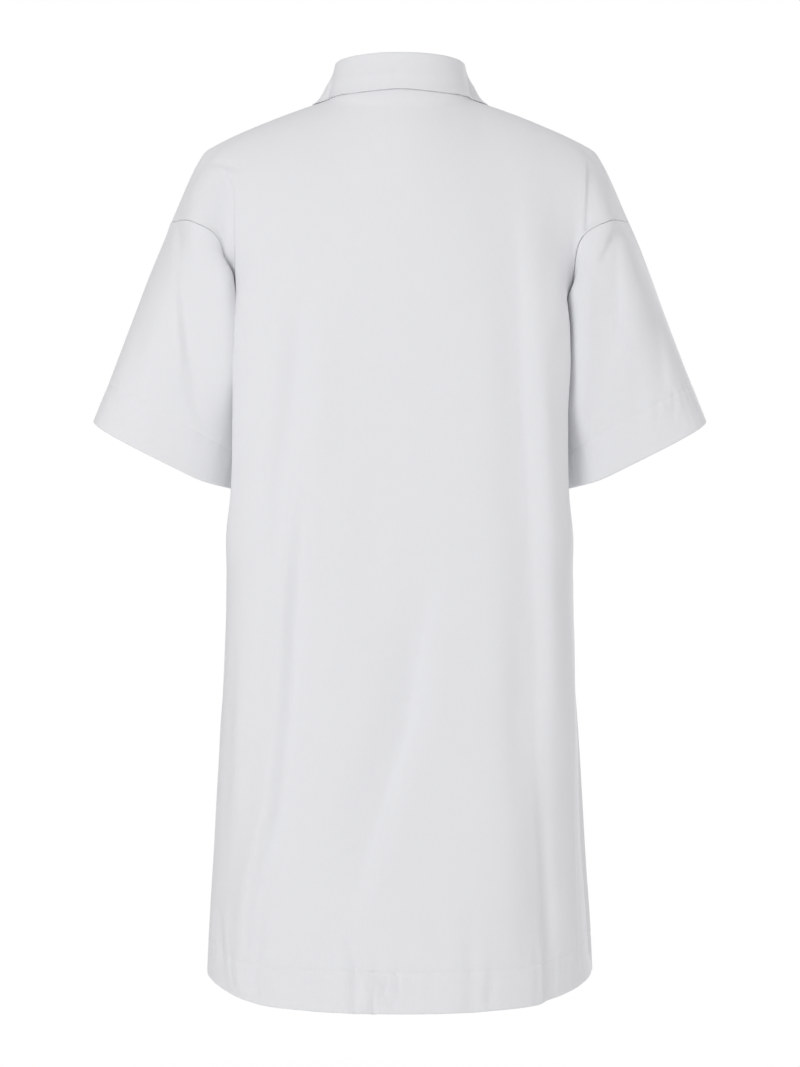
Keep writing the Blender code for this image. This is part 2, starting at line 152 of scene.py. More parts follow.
# ---------------------------------------------------------------- creases
# Each crease is a line of (x, z) points on a face, from its start to its end. It is a trough where depth is
# above 0 and a ridge where it is below 0. The lip is a ridge beside it, lip_at away, towards +x where that is
# above 0. Fades are the shares of its length over which it comes up and dies away. A half_width may be a pair,
# for the side towards -x and the side towards +x.
CREASE_COLUMNS = ("face", "line", "half_width", "depth", "lip_at", "lip_width", "lip", "fades")
CREASES = (
    # back: the long fold down the wearer's right
    ("back", ((-104, -60), (-110, -161), (-115, -284), (-125, -453), (-130, -552), (-130, -637), (-137, -745),
              (-142, -807), (-140, -880)), (10, 24), 6.5, 0, 1, 0.0, (0.22, 0.12)),
    ("back", ((-128, -80), (-133, -161), (-136, -284), (-143, -453), (-147, -552), (-148, -637),
              (-152, -700)), 11, -3.0, 0, 1, 0.0, (0.3, 0.5)),
    ("back", ((-172, -150), (-170, -200), (-168, -260), (-167, -320)), 12, -4.5, 0, 1, 0.0, (0.3, 0.35)),
    ("back", ((-108, -470), (-112, -590), (-110, -700)), 12, 1.8, 0, 1, 0.0, (0.4, 0.4)),
    # back: the folds down the wearer's left
    ("back", ((95, -150), (97, -217), (104, -303), (113, -373), (116, -453), (128, -520)), 13, 4.0, 18, 13,
     1.6, (0.3, 0.3)),
    ("back", ((104, -350), (108, -453), (112, -524), (116, -595), (124, -680), (130, -708), (141, -751),
              (148, -807), (152, -880)), (6, 12), -4.2, -12, 7, -2.6, (0.25, 0.05)),
    ("back", ((74, -190), (73, -290), (78, -400)), 13, -2.0, 0, 1, 0.0, (0.4, 0.4)),
    ("back", ((178, -780), (176, -815), (172, -860)), 5, 2.6, -8, 6, 1.2, (0.4, 0.3)),
    ("back", ((158, -500), (166, -620), (172, -760)), 8, 1.8, -10, 8, 1.0, (0.4, 0.4)),
    # back: the middle
    ("back", ((26, -330), (27, -440), (20, -540)), 14, 1.6, 0, 1, 0.0, (0.4, 0.4)),
    ("back", ((-26, -440), (-22, -490), (-14, -540), (-4, -609), (14, -666), (33, -727), (46, -776),
              (52, -830)), (10, 28), 8.0, -24, 18, 2.4, (0.35, 0.35)),
    ("back", ((-64, -770), (-66, -830), (-66, -880)), 8, 1.6, 9, 8, 0.8, (0.6, 0.05)),
    # back: puckers at the hem
    ("back", ((43, -822), (42, -850), (43, -880)), 3.0, 2.6, 0, 1, 0.0, (0.4, 0.1)),
    ("back", ((35, -830), (36, -855), (34, -880)), 2.4, 2.4, 0, 1, 0.0, (0.4, 0.1)),
    ("back", ((25, -826), (24, -850), (26, -880)), 2.8, 3.6, 0, 1, 0.0, (0.3, 0.1)),
    ("back", ((18, -832), (16, -850), (12, -874)), 2.4, 2.2, 0, 1, 0.0, (0.4, 0.2)),
    ("back", ((3, -828), (3, -850), (5, -872)), 2.4, 1.8, 0, 1, 0.0, (0.4, 0.3)),
    ("back", ((-84, -828), (-84, -852), (-83, -876)), 2.4, 2.4, 0, 1, 0.0, (0.4, 0.2)),
    ("back", ((-131, -818), (-132, -845), (-131, -880)), (2.2, 3.6), 1.8, 0, 1, 0.0, (0.2, 0.1)),
    ("back", ((163, -822), (161, -845), (158, -868)), 2.6, 1.5, 0, 1, 0.0, (0.3, 0.3)),
    ("back", ((150, -828), (148, -845), (145, -866)), 2.4, 1.2, 0, 1, 0.0, (0.3, 0.3)),
    ("back", ((70, -760), (71, -810), (73, -880)), 8, 1.8, 0, 1, 0.0, (0.6, 0.1)),
    ("back", ((44, -780), (45, -830), (44, -880)), 6, 1.6, 0, 1, 0.0, (0.5, 0.1)),
    ("back", ((62, -28), (74, -90), (80, -170)), 14, 1.4, 0, 1, 0.0, (0.4, 0.5)),
    ("back", ((188, -62), (170, -68), (148, -76)), 5, 1.6, 6, 5, 0.8, (0.3, 0.5)),
    ("back", ((-160, -140), (-150, -200), (-146, -270)), 9, -2.2, 0, 1, 0.0, (0.4, 0.4)),
    # front
    ("front", ((96, -170), (98, -260), (104, -360), (110, -470), (112, -560)), (16, 8), 4.2, 16, 12, 2.0,
     (0.3, 0.35)),
    ("front", ((122, -420), (120, -540), (126, -660), (134, -770), (140, -880)), (18, 8), 5.0, 16, 11, 2.8,
     (0.3, 0.05)),
    ("front", ((-92, -150), (-98, -260), (-106, -400), (-112, -540), (-118, -680), (-126, -800),
               (-130, -880)), (8, 20), 6.5, -18, 12, 3.2, (0.25, 0.03)),
    ("front", ((-150, -470), (-158, -600), (-164, -740)), 8, 2.4, 10, 8, 1.2, (0.4, 0.4)),
    ("front", ((20, -380), (14, -470), (2, -560), (-14, -650), (-30, -740), (-36, -820)), (22, 11), 4.6, 20,
     15, 2.2, (0.35, 0.35)),
    ("front", ((60, -640), (58, -740), (62, -880)), 9, 2.4, 12, 9, 1.0, (0.5, 0.1)),
    ("front", ((-60, -560), (-66, -680), (-64, -790)), 12, 2.0, 0, 1, 0.0, (0.4, 0.4)),
    ("front", ((66, -60), (84, -120), (94, -190)), 12, 2.2, 0, 1, 0.0, (0.3, 0.5)),
    ("front", ((-64, -64), (-86, -130), (-94, -200)), 12, 2.4, 0, 1, 0.0, (0.3, 0.5)),
    ("front", ((22, -222), (30, -260), (44, -310)), 8, 1.6, 0, 1, 0.0, (0.2, 0.6)),
    ("front", ((-22, -222), (-28, -250), (-36, -290)), 7, 1.4, 0, 1, 0.0, (0.2, 0.6)),
)
# The sleeves' creases, given as on the +x sleeve: for the wearer's left (1) and right (-1).
SLEEVE_CREASES = {
    1: (
        ("back", ((250, -200), (258, -260), (262, -320)), 11, 1.6, 0, 1, 0.0, (0.4, 0.4)),
        ("back", ((216, -126), (200, -134), (184, -140)), 5, 1.2, 0, 1, 0.0, (0.3, 0.5)),
        ("back", ((186, -170), (182, -230), (180, -300)), 8, -1.6, 0, 1, 0.0, (0.4, 0.4)),
        ("back", ((174, -150), (168, -185), (165, -220), (165, -320)), 12, -9.0, 0, 1, 0.0, (0.2, 0.35)),
        ("front", ((206, -136), (206, -200), (204, -270), (196, -330)), 8, 2.8, 12, 9, 1.6, (0.15, 0.4)),
        ("front", ((240, -170), (250, -240), (256, -310)), 12, 2.2, 0, 1, 0.0, (0.4, 0.4)),
    ),
    -1: (
        ("back", ((213, -128), (211, -170), (210, -225), (204, -280)), (17, 5), 3.6, 18, 11, 1.4, (0.1, 0.4)),
        ("back", ((252, -190), (255, -250), (258, -310)), (12, 6), 2.4, 0, 1, 0.0, (0.35, 0.3)),
        ("back", ((176, -165), (172, -205), (170, -260), (170, -350)), 12, -9.0, 0, 1, 0.0, (0.2, 0.25)),
        ("back", ((232, -250), (230, -310), (226, -360)), 9, 1.6, 0, 1, 0.0, (0.4, 0.2)),
        ("back", ((252, -290), (249, -318), (247, -345)), 2.6, 1.5, 4, 3, 0.6, (0.3, 0.2)),
        ("back", ((266, -284), (268, -300), (264, -322)), 2.6, 1.4, 4, 3, 0.6, (0.3, 0.3)),
        ("front", ((210, -134), (212, -200), (206, -280), (198, -340)), 8, 3.0, 12, 9, 1.6, (0.15, 0.4)),
        ("front", ((244, -190), (252, -250), (262, -320)), 11, 2.4, 0, 1, 0.0, (0.4, 0.3)),
    ),
}
# Where cloth drops over an edge: towards +x of the line where to is 1, towards -x where it is -1. It falls by
# depth over the width of sharp and comes back over reach.
STEP_COLUMNS = ("face", "line", "to", "depth", "sharp", "reach", "fades")
STEPS = (
    ("back", ((182, -62), (168, -76), (160, -95), (158.5, -150), (158.5, -215), (159, -262)), 1, 3.0, 5, 30,
     (0.12, 0.1)),
    ("back", ((-183, -56), (-179.5, -105), (-176, -146), (-171.5, -173), (-169, -211), (-168, -250)), -1, 3.5,
     4, 20, (0.1, 0.1)),
    ("back", ((-167, -520), (-170, -640), (-174, -760), (-177, -860)), -1, 3.0, 4, 34, (0.25, 0.05)),
    ("back", ((-127, -600), (-129, -690), (-134, -790), (-131, -882)), -1, 6.0, 16, 52, (0.4, 0.02)),
)
SLEEVE_STEPS = {
    1: (
        ("back", ((226, -112), (223.5, -150), (218.5, -190), (213, -238), (206, -297), (190, -340)), -1, 4.2,
         5, 19, (0.05, 0.35)),
    ),
    -1: (
        ("back", ((210, -124), (199, -149), (186, -171)), 1, 3.2, 4, 10, (0.05, 0.3)),
    ),
}
LEAF_CLOTH = 1.2
HEM_PUCKER = 0.35
BROAD = 1.1
SOFT_WIDTH = 26.0

# ---------------------------------------------------------------- colours

WHITE = (0.80, 0.81, 0.825, 1.0)
THREAD = (0.83, 0.83, 0.83, 1.0)
PEARL = (0.84, 0.84, 0.82, 1.0)


# ---------------------------------------------------------------- curves and tables


def smooth(x, low, high):
    t = np.clip((x - low) / (high - low), 0.0, 1.0)
    return t * t * (3.0 - 2.0 * t)


def hermite(a, b, pull_a, pull_b, t):
    start = (2 * t**3 - 3 * t**2 + 1) * a + (t**3 - 2 * t**2 + t) * pull_a
    return start + (3 * t**2 - 2 * t**3) * b + (t**3 - t**2) * pull_b


def through(xs, ys, x):
    xs, ys = np.asarray(xs, float), np.asarray(ys, float)
    if xs[0] > xs[-1]:
        xs, ys = xs[::-1], ys[::-1]
    slopes = np.gradient(ys, xs, axis=0)
    i = int(np.clip(np.searchsorted(xs, x) - 1, 0, len(xs) - 2))
    step = xs[i + 1] - xs[i]
    t = np.clip((x - xs[i]) / step, 0.0, 1.0)
    return hermite(ys[i], ys[i + 1], slopes[i] * step, slopes[i + 1] * step, t)


def table(rows, names, key, x):
    keys = [row[names.index(key)] for row in rows]
    return {n: float(through(keys, [row[i] for row in rows], x)) for i, n in enumerate(names) if n != key}


def even(points, shares):
    points = np.asarray(points, float)
    run = np.concatenate([[0.0], np.cumsum(np.linalg.norm(np.diff(points, axis=0), axis=1))])
    return np.stack([np.interp(shares, run / run[-1], points[:, k]) for k in range(3)], axis=1)


def outward(grid, closed=False):
    if closed:
        along = np.roll(grid, -1, axis=1) - np.roll(grid, 1, axis=1)
    else:
        along = np.gradient(grid, axis=1)
    n = np.cross(np.gradient(grid, axis=0), along)
    return n / np.maximum(np.linalg.norm(n, axis=-1, keepdims=True), 1e-9)


def edged(start, end, count, first, last):
    """Even steps from start to end, with a few close ones at each end, sized by first and last."""
    close = np.array([0.0, 0.12, 0.3, 0.55, 0.85])
    steps = np.linspace(start, end, count + 1)[1:-1]
    return np.concatenate([start + close * first, steps, (end - close * last)[::-1]])


def noise(u, v, size_u, size_v, round_u=None):
    """Smooth numbers of about -1 to 1 at (u, v), in cells of this size. A tube joins up after round_u."""
    u, v = u - u.min(), v - v.min()
    across = int(round(round_u / size_u)) if round_u else int(u.max() / size_u) + 3
    u = u / (round_u / across) if round_u else u / size_u
    v = v / size_v
    rough = rng.uniform(-1.0, 1.0, (int(v.max()) + 3, across))
    i, j = v.astype(int), u.astype(int)
    fv, fu = v - i, u - j
    fv, fu = fv * fv * (3 - 2 * fv), fu * fu * (3 - 2 * fu)
    j, k = j % across, (j + 1) % across
    low = rough[i, j] * (1 - fu) + rough[i, k] * fu
    high = rough[i + 1, j] * (1 - fu) + rough[i + 1, k] * fu
    return low * (1 - fv) + high * fv


# ---------------------------------------------------------------- the dress's form


def ring(height, face, shares):
    size = table(RINGS, RING_COLUMNS, "height", height)
    angle = np.linspace(0.0, math.pi / 2, 361)
    power = 2.0 / size["squareness"]
    x = size["half_width"] * np.sin(angle) ** power
    x = x - size["pinch"] * smooth(angle, math.radians(60), math.radians(88))
    y = size[face] * np.clip(np.cos(angle), 0.0, 1.0) ** power
    y[-1] = 0.0
    y = y if face == "back" else -y
    return even(np.stack([x, y, np.full_like(x, height)], axis=1), shares)


def neck_ring(turn):
    angle = turn * math.pi
    forward = max(-math.cos(angle), 0.0)
    y = -NECK_FRONT * forward if forward else NECK_BACK * math.cos(angle)
    return np.array([NECK_HALF * math.sin(angle), y, NECK_HEIGHT - NECK_DROP * forward**1.6])


def shoulder(share):
    knots = np.linspace(0.0, 1.0, len(SHOULDER))
    line = [through(knots, SHOULDER, k) for k in np.linspace(0.0, 1.0, 61)]
    return even([(out, 0.0, height) for out, height in line], [share])[0]


def armhole(face, t):
    knots = np.linspace(0.0, 1.0, len(ARMHOLE))
    out, away, height = through(knots, ARMHOLE, t)
    return np.array([out, away if face == "back" else -away, height])


def column_of(face, share):
    if share < NECK_SHARE:
        turn = share / NECK_SHARE / 2
        top = neck_ring(turn if face == "back" else 1.0 - turn)
    else:
        top = shoulder((share - NECK_SHARE) / (1.0 - NECK_SHARE))
    low, below = ring(UNDERARM, face, [share])[0], ring(UNDERARM - 1.0, face, [share])[0]
    pull = table(STARTS[face], START_COLUMNS, "share", share)
    leave = np.array([pull["out"], pull["away"], pull["up"]])
    return top, low, leave, (below - low) * (top[2] - low[2]) * END_PULL


def yoke_grid(face, shares, steps):
    """Points of the half panel above the underarm: rows for the steps down, columns for the shares."""
    steps = np.asarray(steps, float)[:, None]
    seam = np.array([armhole(face, t) for t in steps[:, 0]])
    edge = seam - hermite(*column_of(face, 1.0), steps)
    columns = [hermite(*column_of(face, s), steps) + smooth(s, ARMHOLE_FROM, 1.0) * edge for s in shares]
    return np.stack(columns, axis=1)


def signed_yoke(face, shares, steps):
    shares = np.asarray(shares, float)
    grid = yoke_grid(face, np.abs(shares), steps)
    return grid * np.where(shares < 0, -1.0, 1.0)[None, :, None] ** np.array([1, 0, 0])


def above_panel(face, share, t, lift):
    step = 0.004
    here = signed_yoke(face, (share - step, share + step), (t, t + step))
    away = outward(here)[0][0] * (1.0 if face == "front" else -1.0)
    return here[0].mean(axis=0) + away * lift


def radial(point):
    flat = np.array([point[0], point[1], 0.0])
    return flat / np.linalg.norm(flat)


def lapped(point, turn):
    return point + radial(point) * LAP * smooth(-turn, 0.84, 0.96)


def fold_ring(turn):
    angle = turn * math.pi
    forward = max(-math.cos(angle), 0.0)
    y = -FOLD_FRONT * forward if forward else FOLD_BACK * math.cos(angle)
    return lapped(np.array([FOLD_HALF * math.sin(angle), y, FOLD_HEIGHT - FOLD_DROP * forward**1.5]), turn)


def leaf_edge(turn):
    at = table(LEAF_EDGE, LEAF_COLUMNS, "turn", abs(turn))
    face = "back" if at["t"] >= 0 else "front"
    return above_panel(face, math.copysign(at["share"], turn), abs(at["t"]), at["lift"])


# ---------------------------------------------------------------- creases on a grid


def beside(line, x, z):
    """Signed distances of points from a line, above 0 towards +x, and how far along it they are, 0 to 1."""
    knots = np.array(line, float)
    line = np.array([through(np.arange(len(knots)), knots, k) for k in np.linspace(0, len(knots) - 1, 24)])
    run = np.concatenate([[0.0], np.cumsum(np.linalg.norm(np.diff(line, axis=0), axis=1))])
    near, side, along = np.full_like(x, 1e9), np.zeros_like(x), np.zeros_like(x)
    for k, (a, b) in enumerate(zip(line, line[1:])):
        d = b - a
        length = float(np.linalg.norm(d))
        t = np.clip(((x - a[0]) * d[0] + (z - a[1]) * d[1]) / length**2, 0.0, 1.0)
        far = np.hypot(x - a[0] - t * d[0], z - a[1] - t * d[1])
        closer = far < near
        near = np.where(closer, far, near)
        side = np.where(closer, np.sign((z - a[1]) * d[0] - (x - a[0]) * d[1]), side)
        along = np.where(closer, (run[k] + t * length) / run[-1], along)
    return near * side, along


def step_offset(x, z, face, steps):
    """How far the steps move points at (x, z) in."""
    moved = np.zeros_like(x)
    for row in steps:
        c = dict(zip(STEP_COLUMNS, row))
        if c["face"] == face:
            signed, along = beside(c["line"], x, z)
            rise, fall = c["fades"]
            fade = smooth(along, 0.0, rise) * (1.0 - smooth(along, 1.0 - fall, 1.0))
            past = signed * c["to"]
            back_up = np.exp(-((np.maximum(past, 0.0) / c["reach"]) ** 2))
            moved -= c["depth"] * fade * smooth(past, 0.0, c["sharp"]) * back_up
    return moved


def crease_offset(x, z, face, creases):
    """How far the creases move points at (x, z) out."""
    moved = np.zeros_like(x)
    for row in creases:
        c = dict(zip(CREASE_COLUMNS, row))
        if c["face"] != face:
            continue
        signed, along = beside(c["line"], x, z)
        near, side = np.abs(signed), np.sign(signed)
        wide = np.where(side > 0, *np.broadcast_to(c["half_width"], 2)[::-1])
        rise, fall = c["fades"]
        fade = smooth(along, 0.0, rise) * (1.0 - smooth(along, 1.0 - fall, 1.0))
        moved -= c["depth"] * fade * np.exp(-((near / wide) ** 2))
        moved += c["lip"] * fade * np.exp(-(((signed - c["lip_at"]) / c["lip_width"]) ** 2))
    return moved


def solid_folds(x, z, face):
    moved = np.zeros_like(x)
    for row in FOLDS:
        f = dict(zip(FOLD_COLUMNS, row))
        if f["face"] != face:
            continue
        t = (z - f["z_top"]) / (f["z_low"] - f["z_top"])
        centre = f["x_top"] + (f["x_low"] - f["x_top"]) * t + f["bow"] * np.sin(np.clip(t, 0, 1) * math.pi)
        fade = smooth(t, 0.0, 0.3) * (1.0 - smooth(t, 0.75, 1.0))
        moved -= 0.5 * f["depth"] * fade * np.exp(-(((x - centre) / f["half_width"]) ** 2))
    return moved


# ---------------------------------------------------------------- materials


def cotton(name, colour=WHITE):
    """Plain woven cotton: fine threads, a little unevenness of tone, and soft small crumples."""
    m = bpy.data.materials.new(name)
    m.use_nodes = True
    nodes, links = m.node_tree.nodes, m.node_tree.links
    shader = nodes["Principled BSDF"]
    shader.inputs["Roughness"].default_value = 0.88
    shader.inputs["Sheen Weight"].default_value = 0.12
    shader.inputs["Sheen Roughness"].default_value = 0.5
    shader.inputs["Specular IOR Level"].default_value = 0.25
    uv = nodes.new("ShaderNodeUVMap")
    uv.uv_map = "cloth"
    split = nodes.new("ShaderNodeSeparateXYZ")
    links.new(uv.outputs["UV"], split.inputs[0])
    waves = []
    for axis, pitch in (("X", 0.00055), ("Y", 0.00060)):
        scale = nodes.new("ShaderNodeMath")
        scale.operation = "MULTIPLY"
        scale.inputs[1].default_value = math.pi / pitch
        links.new(split.outputs[axis], scale.inputs[0])
        sine = nodes.new("ShaderNodeMath")
        sine.operation = "SINE"
        links.new(scale.outputs[0], sine.inputs[0])
        waves.append(sine)
    weave = nodes.new("ShaderNodeMath")
    weave.operation = "MULTIPLY"
    links.new(waves[0].outputs[0], weave.inputs[0])
    links.new(waves[1].outputs[0], weave.inputs[1])

    slub = nodes.new("ShaderNodeTexNoise")
    slub.inputs["Scale"].default_value = 900.0
    slub.inputs["Detail"].default_value = 3.0
    stretch = nodes.new("ShaderNodeMapping")
    stretch.inputs["Scale"].default_value = (1.0, 0.12, 1.0)
    links.new(uv.outputs["UV"], stretch.inputs["Vector"])
    links.new(stretch.outputs["Vector"], slub.inputs["Vector"])

    crumple = nodes.new("ShaderNodeTexNoise")
    crumple.inputs["Scale"].default_value = 26.0
    crumple.inputs["Detail"].default_value = 4.0
    crumple.inputs["Roughness"].default_value = 0.55
    links.new(uv.outputs["UV"], crumple.inputs["Vector"])

    bump = nodes.new("ShaderNodeBump")
    bump.inputs["Strength"].default_value = 0.35
    bump.inputs["Distance"].default_value = 0.0016
    links.new(crumple.outputs["Fac"], bump.inputs["Height"])
    fine = nodes.new("ShaderNodeBump")
    fine.inputs["Strength"].default_value = 0.30
    fine.inputs["Distance"].default_value = 0.00008
    links.new(weave.outputs[0], fine.inputs["Height"])
    links.new(bump.outputs["Normal"], fine.inputs["Normal"])
    links.new(fine.outputs["Normal"], shader.inputs["Normal"])

    tone = nodes.new("ShaderNodeMix")
    tone.data_type = "RGBA"
    tone.inputs[6].default_value = tuple(c * 0.965 for c in colour[:3]) + (1.0,)
    tone.inputs[7].default_value = colour
    links.new(slub.outputs["Fac"], tone.inputs[0])
    links.new(tone.outputs[2], shader.inputs["Base Color"])
    return m


def plain(name, colour, roughness, coat=0.0, speckle=0.03):
    """Thread or button plastic with a slight mottle."""
    m = bpy.data.materials.new(name)
    m.use_nodes = True
    nodes, links = m.node_tree.nodes, m.node_tree.links
    shader = nodes["Principled BSDF"]
    shader.inputs["Roughness"].default_value = roughness
    shader.inputs["Coat Weight"].default_value = coat
    grain = nodes.new("ShaderNodeTexNoise")
    grain.inputs["Scale"].default_value = 260.0
    grain.inputs["Detail"].default_value = 4.0
    place = nodes.new("ShaderNodeTexCoord")
    links.new(place.outputs["Object"], grain.inputs["Vector"])
    tone = nodes.new("ShaderNodeMix")
    tone.data_type = "RGBA"
    tone.inputs[6].default_value = tuple(c * (1 - 2 * speckle) for c in colour[:3]) + (1.0,)
    tone.inputs[7].default_value = colour
    links.new(grain.outputs["Fac"], tone.inputs[0])
    links.new(tone.outputs[2], shader.inputs["Base Color"])
    return m


# ---------------------------------------------------------------- meshes


def add_mesh(name, points, faces, uvs, material):
    mesh = bpy.data.meshes.new(name)
    mesh.from_pydata((np.asarray(points) * MM).tolist(), [], faces)
    if uvs is not None:
        layer = mesh.uv_layers.new(name="cloth")
        index = np.empty(len(mesh.loops), dtype=np.int32)
        mesh.loops.foreach_get("vertex_index", index)
        layer.data.foreach_set("uv", (uvs[index] * MM).ravel())
    mesh.shade_smooth()
    mesh.materials.append(material)
    obj = bpy.data.objects.new(name, mesh)
    bpy.context.scene.collection.objects.link(obj)
    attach(obj, "root")
    return obj


def arcs(grid, closed):
    """Lengths along the rows and down the columns of a grid, from its middle column and its first row."""
    across = np.linalg.norm(np.diff(grid, axis=1), axis=2)
    u = np.concatenate([np.zeros((len(grid), 1)), np.cumsum(across, axis=1)], axis=1)
    down = np.linalg.norm(np.diff(grid, axis=0), axis=2)
    v = np.concatenate([np.zeros((1, grid.shape[1])), np.cumsum(down, axis=0)], axis=0)
    edge = np.minimum(v, v[-1:] - v)
    if not closed:
        edge = np.minimum(edge, np.minimum(u, u[:, -1:] - u))
        u = u - u[:, grid.shape[1] // 2][:, None]
    return u, v, edge


def shell(name, grid, thickness, closed=False, open_cells=None, seam_side=0.0, node=None, material=None):
    """Cloth behind a grid of points, its edges rounded."""
    rows, columns = grid.shape[:2]
    node = node or name
    u, v, edge = arcs(grid, closed)
    wall = np.broadcast_to(np.asarray(thickness, float), rows)[:, None] * np.ones((1, columns))
    half = wall / 2
    inside = np.clip(edge, 0.0, half)
    round_off = half - np.sqrt(np.maximum(half**2 - (half - inside) ** 2, 0.0))
    normal = outward(grid, closed)
    outer = grid - normal * (round_off * 0.96)[..., None]
    inner = grid - normal * (wall - round_off * 0.96)[..., None]
    if seam_side:
        for layer in (outer, inner):
            layer[..., 1] = seam_side * np.maximum(seam_side * layer[..., 1], SEAM_GAP / 2)
    across = columns if closed else columns - 1
    r, c = np.meshgrid(np.arange(rows - 1), np.arange(across), indexing="ij")
    if open_cells is not None:
        keep = ~open_cells[: rows - 1, :across]
        r, c = r[keep], c[keep]
    r, c = r.ravel(), c.ravel()
    d = (c + 1) % columns
    front = np.stack([r * columns + c, (r + 1) * columns + c, (r + 1) * columns + d, r * columns + d], axis=1)
    behind = rows * columns
    count = {}
    for quad in front.tolist():
        for a, b in zip(quad, quad[1:] + quad[:1]):
            count[(a, b)] = True
    rim = [(b, a, a + behind, b + behind) for a, b in count if (b, a) not in count]
    faces = front.tolist() + (front[:, ::-1] + behind).tolist() + rim
    points = np.concatenate([outer.reshape(-1, 3), inner.reshape(-1, 3)])
    uvs = np.stack([u, v], axis=-1).reshape(-1, 2)
    uvs = np.concatenate([uvs, uvs])
    used = np.zeros(len(points), bool)
    used[np.array([i for face in faces for i in face])] = True
    new = np.cumsum(used) - 1
    faces = [tuple(int(new[i]) for i in face) for face in faces]
    obj = add_mesh(name, points[used], faces, uvs[used], material or cotton(name + "_cotton"))
    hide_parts(node)
    return obj


def stitch_line(points, normals_, pitch=2.9, length=2.1, radius=0.24, sink=0.02):
    """Small rounded stitches along a line of points on the cloth: points and faces."""
    points = np.asarray(points, float)
    run = np.concatenate([[0.0], np.cumsum(np.linalg.norm(np.diff(points, axis=0), axis=1))])
    made, faces = [], []
    sides = 6
    ring_at = ((-0.5, 0.25), (-0.32, 0.9), (0.0, 1.0), (0.32, 0.9), (0.5, 0.25))
    for k in range(int(run[-1] / pitch)):
        at = (k + 0.5) * pitch
        here = np.array([np.interp(at, run, points[:, i]) for i in range(3)])
        ahead = np.array([np.interp(at + 0.3, run, points[:, i]) for i in range(3)])
        up = np.array([np.interp(at, run, normals_[:, i]) for i in range(3)])
        up /= np.linalg.norm(up)
        along = ahead - here
        along /= max(np.linalg.norm(along), 1e-9)
        side = np.cross(up, along)
        side /= max(np.linalg.norm(side), 1e-9)
        slant = along + side * 0.07 * math.sin(k * 2.4)
        base = len(made)
        for where, size in ring_at:
            for s in range(sides):
                a = 2 * math.pi * s / sides
                out = side * math.cos(a) + up * (math.sin(a) * 0.8 - 2.2 * abs(where) ** 2 * 0.5)
                made.append(here + slant * where * length + out * radius * size - up * sink)
        for j in range(len(ring_at) - 1):
            for s in range(sides):
                e = (s + 1) % sides
                here_at, next_at = base + j * sides, base + (j + 1) * sides
                faces.append((here_at + s, here_at + e, next_at + e, next_at + s))
        faces.append(tuple(base + s for s in range(sides))[::-1])
        last = base + (len(ring_at) - 1) * sides
        faces.append(tuple(last + s for s in range(sides)))
    return made, faces


def stitches(name, lines):
    """One mesh of the stitches along several lines, each a pair of points and normals."""
    points, faces = [], []
    for line, normal in lines:
        p, f = stitch_line(line, normal)
        faces += [tuple(i + len(points) for i in face) for face in f]
        points += p
    return add_mesh(name, points, faces, None, thread)


thread = plain("thread", THREAD, 0.6)

# ---------------------------------------------------------------- the panels

PANEL_ROWS_YOKE = 78
PANEL_ROWS_SKIRT = 126
PANEL_HALF = 98
DENSE_SHARE = 0.70


